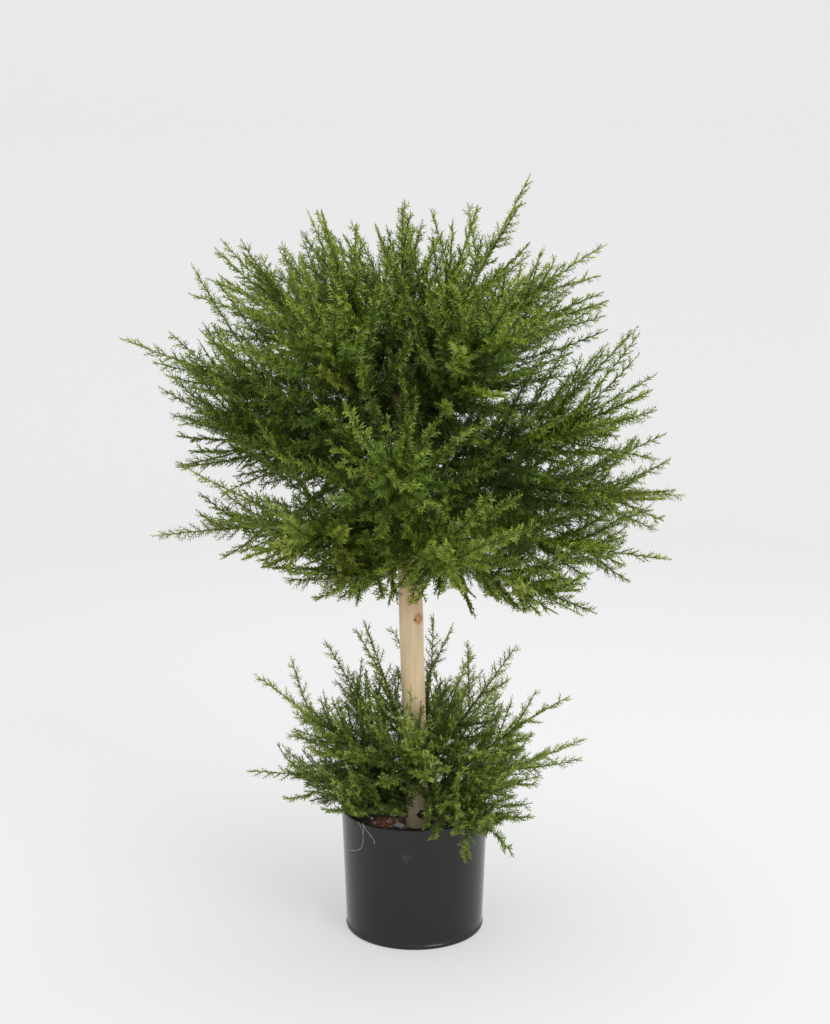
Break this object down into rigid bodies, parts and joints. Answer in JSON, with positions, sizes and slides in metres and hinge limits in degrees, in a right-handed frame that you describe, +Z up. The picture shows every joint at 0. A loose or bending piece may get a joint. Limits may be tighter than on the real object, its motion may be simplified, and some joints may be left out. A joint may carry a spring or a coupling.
{
  "type": "artificial cypress topiary in a pot",
  "caption": "Artificial cypress topiary: wide flattened crown and low skirt of needle sprays on a bare peeled pole, set in a plain tapered pot.",
  "frame": {"origin": "middle of the pot's flat underside, on the floor it stands on", "axes": "+Z up along the pot's axis; -Y is the side that the picture shows; the pole leans slightly towards -X"},
  "size_m": [0.6359, 0.6291, 0.8971],
  "materials": {
    "pot": "satin black moulded plastic with faint scuffs",
    "fill": "rough cast filler, tinted reddish brown",
    "trunk": "peeled and dried, pale with fine grain and small knots",
    "stems": "dark green-brown plastic-covered wire",
    "crown_foliage": "moulded soft plastic needles, mixed greens",
    "skirt_foliage": "moulded soft plastic needles, mixed greens"
  },
  "bodies": {
    "root": {"pot": "pot", "fill": "fill", "trunk": "trunk", "crown_top_1_mass": "crown_foliage", "crown_high_1_mass": "crown_foliage", "crown_high_2_mass": "crown_foliage", "crown_high_3_mass": "crown_foliage", "crown_high_4_mass": "crown_foliage", "crown_high_5_mass": "crown_foliage", "crown_upper_1_bough": "stems", "crown_upper_1_mass": "crown_foliage", "crown_upper_2_bough": "stems", "crown_upper_2_mass": "crown_foliage", "crown_upper_3_bough": "stems", "crown_upper_3_mass": "crown_foliage", "crown_upper_4_bough": "stems", "crown_upper_4_mass": "crown_foliage", "crown_upper_5_bough": "stems", "crown_upper_5_mass": "crown_foliage", "crown_upper_6_bough": "stems", "crown_upper_6_mass": "crown_foliage", "crown_middle_1_bough": "stems", "crown_middle_1_mass": "crown_foliage", "crown_middle_2_bough": "stems", "crown_middle_2_mass": "crown_foliage", "crown_middle_3_bough": "stems", "crown_middle_3_mass": "crown_foliage", "crown_middle_4_bough": "stems", "crown_middle_4_mass": "crown_foliage", "crown_middle_5_bough": "stems", "crown_middle_5_mass": "crown_foliage", "crown_middle_6_bough": "stems", "crown_middle_6_mass": "crown_foliage", "crown_lower_1_bough": "stems", "crown_lower_1_mass": "crown_foliage", "crown_lower_2_bough": "stems", "crown_lower_2_mass": "crown_foliage", "crown_lower_3_bough": "stems", "crown_lower_3_mass": "crown_foliage", "crown_lower_4_bough": "stems", "crown_lower_4_mass": "crown_foliage", "crown_lower_5_bough": "stems", "crown_lower_5_mass": "crown_foliage", "crown_lower_6_bough": "stems", "crown_lower_6_mass": "crown_foliage", "crown_under_1_mass": "crown_foliage", "crown_under_2_mass": "crown_foliage", "crown_under_3_mass": "crown_foliage", "skirt_inner_1_mass": "skirt_foliage", "skirt_inner_2_mass": "skirt_foliage", "skirt_inner_3_mass": "skirt_foliage", "skirt_outer_1_mass": "skirt_foliage", "skirt_outer_2_mass": "skirt_foliage", "skirt_outer_3_mass": "skirt_foliage", "skirt_outer_4_mass": "skirt_foliage", "skirt_outer_5_mass": "skirt_foliage", "skirt_outer_6_mass": "skirt_foliage", "skirt_low_1_mass": "skirt_foliage", "skirt_low_2_mass": "skirt_foliage", "skirt_low_3_mass": "skirt_foliage"}
  },
  "joints": []
}
